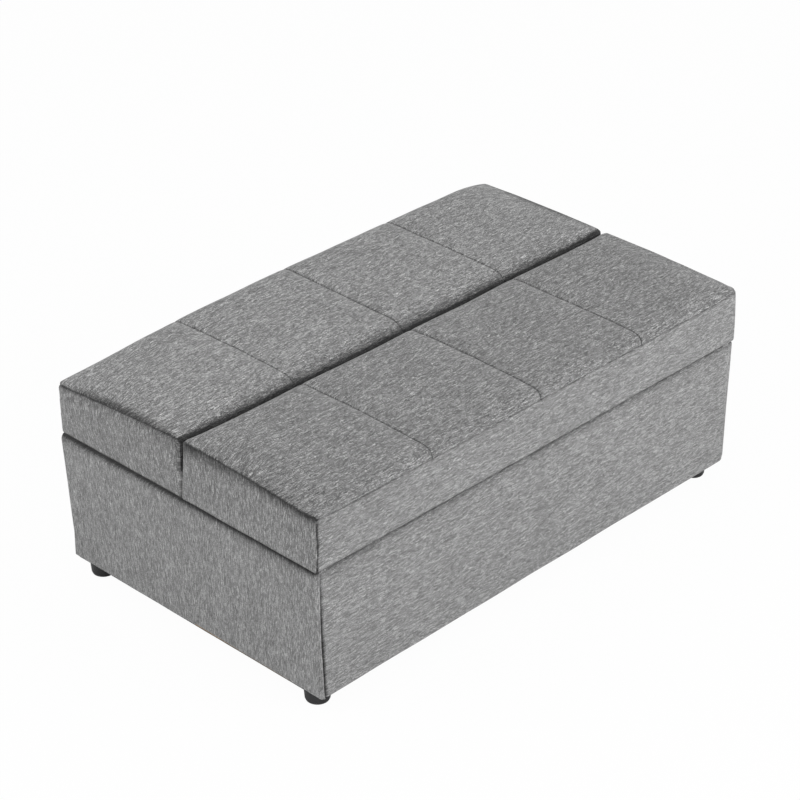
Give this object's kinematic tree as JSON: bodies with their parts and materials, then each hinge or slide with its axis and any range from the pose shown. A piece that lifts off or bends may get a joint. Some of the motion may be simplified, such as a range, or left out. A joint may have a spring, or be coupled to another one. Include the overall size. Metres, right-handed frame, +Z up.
{
  "type": "storage sofa bed",
  "caption": "Padded storage chest with two long cushions side by side, the rear one clicking up as a backrest and the front one lifting as a lid, flat as a bed or bench",
  "frame": {"origin": "on the floor under the middle of the box, flat as a bed", "axes": "X along the length, the front with the seat toward -Y, the backrest toward +Y, Z up"},
  "size_m": [1.2, 0.7, 0.4563],
  "materials": {
    "upholstery": "matte",
    "foam": "matte",
    "lining_cloth": "matte",
    "timber": "matte",
    "foot_plastic": "satin",
    "black_steel": "satin",
    "zinc_steel": "satin",
    "spring_steel": "satin"
  },
  "bodies": {
    "base": {"foot_front_left": "foot_plastic", "foot_front_right": "foot_plastic", "foot_rear_left": "foot_plastic", "foot_rear_right": "foot_plastic", "corner_post_front_left": "timber", "corner_post_front_right": "timber", "corner_post_rear_left": "timber", "corner_post_rear_right": "timber", "foot_screws": "zinc_steel", "storage_floor": "timber", "underside_cloth": "lining_cloth", "front_wall": "timber", "rear_wall": "timber", "left_wall": "timber", "right_wall": "timber", "corner_screws": "zinc_steel", "centre_rail": "timber", "rail_cleat_left": "timber", "rail_cleat_right": "timber", "base_cover_front": "upholstery", "base_cover_rear": "upholstery", "base_cover_left": "upholstery", "base_cover_right": "upholstery", "hinge_stand_left": "black_steel", "hinge_stand_right": "black_steel", "stand_bolts": "zinc_steel", "stand_nuts": "zinc_steel", "hinge_pins": "zinc_steel", "pawl_pins": "zinc_steel", "pawl_springs": "spring_steel", "spring_posts": "zinc_steel"},
    "seat": {"seat_cover": "upholstery", "seat_foam": "foam", "seat_board": "timber", "seat_lining": "lining_cloth", "seat_arm_left": "black_steel", "seat_arm_right": "black_steel", "seat_arm_screws": "zinc_steel"},
    "backrest": {"backrest_cover": "upholstery", "backrest_foam": "foam", "backrest_board": "timber", "backrest_lining": "lining_cloth", "backrest_arm_left": "black_steel", "backrest_arm_right": "black_steel", "backrest_arm_screws": "zinc_steel"},
    "pawl_left": {"pawl_left": "spring_steel"},
    "pawl_right": {"pawl_right": "spring_steel"}
  },
  "joints": [
    {"name": "backrest_hinge", "type": "hinge", "parent": "base", "child": "backrest", "pos_m": [0, 0.029, 0.43], "axis": [1, 0, 0], "range_deg": [0, 80]},
    {"name": "seat_hinge", "type": "hinge", "parent": "base", "child": "seat", "pos_m": [0, -0.029, 0.43], "axis": [-1, 0, 0], "range_deg": [0, 75]},
    {"name": "pawl_left_pivot", "type": "hinge", "parent": "base", "child": "pawl_left", "pos_m": [-0.4544, 0.00841, 0.38132], "axis": [1, 0, 0], "range_deg": [0, 7]},
    {"name": "pawl_right_pivot", "type": "hinge", "parent": "base", "child": "pawl_right", "pos_m": [0.4544, 0.00841, 0.38132], "axis": [1, 0, 0], "range_deg": [0, 7]}
  ]
}
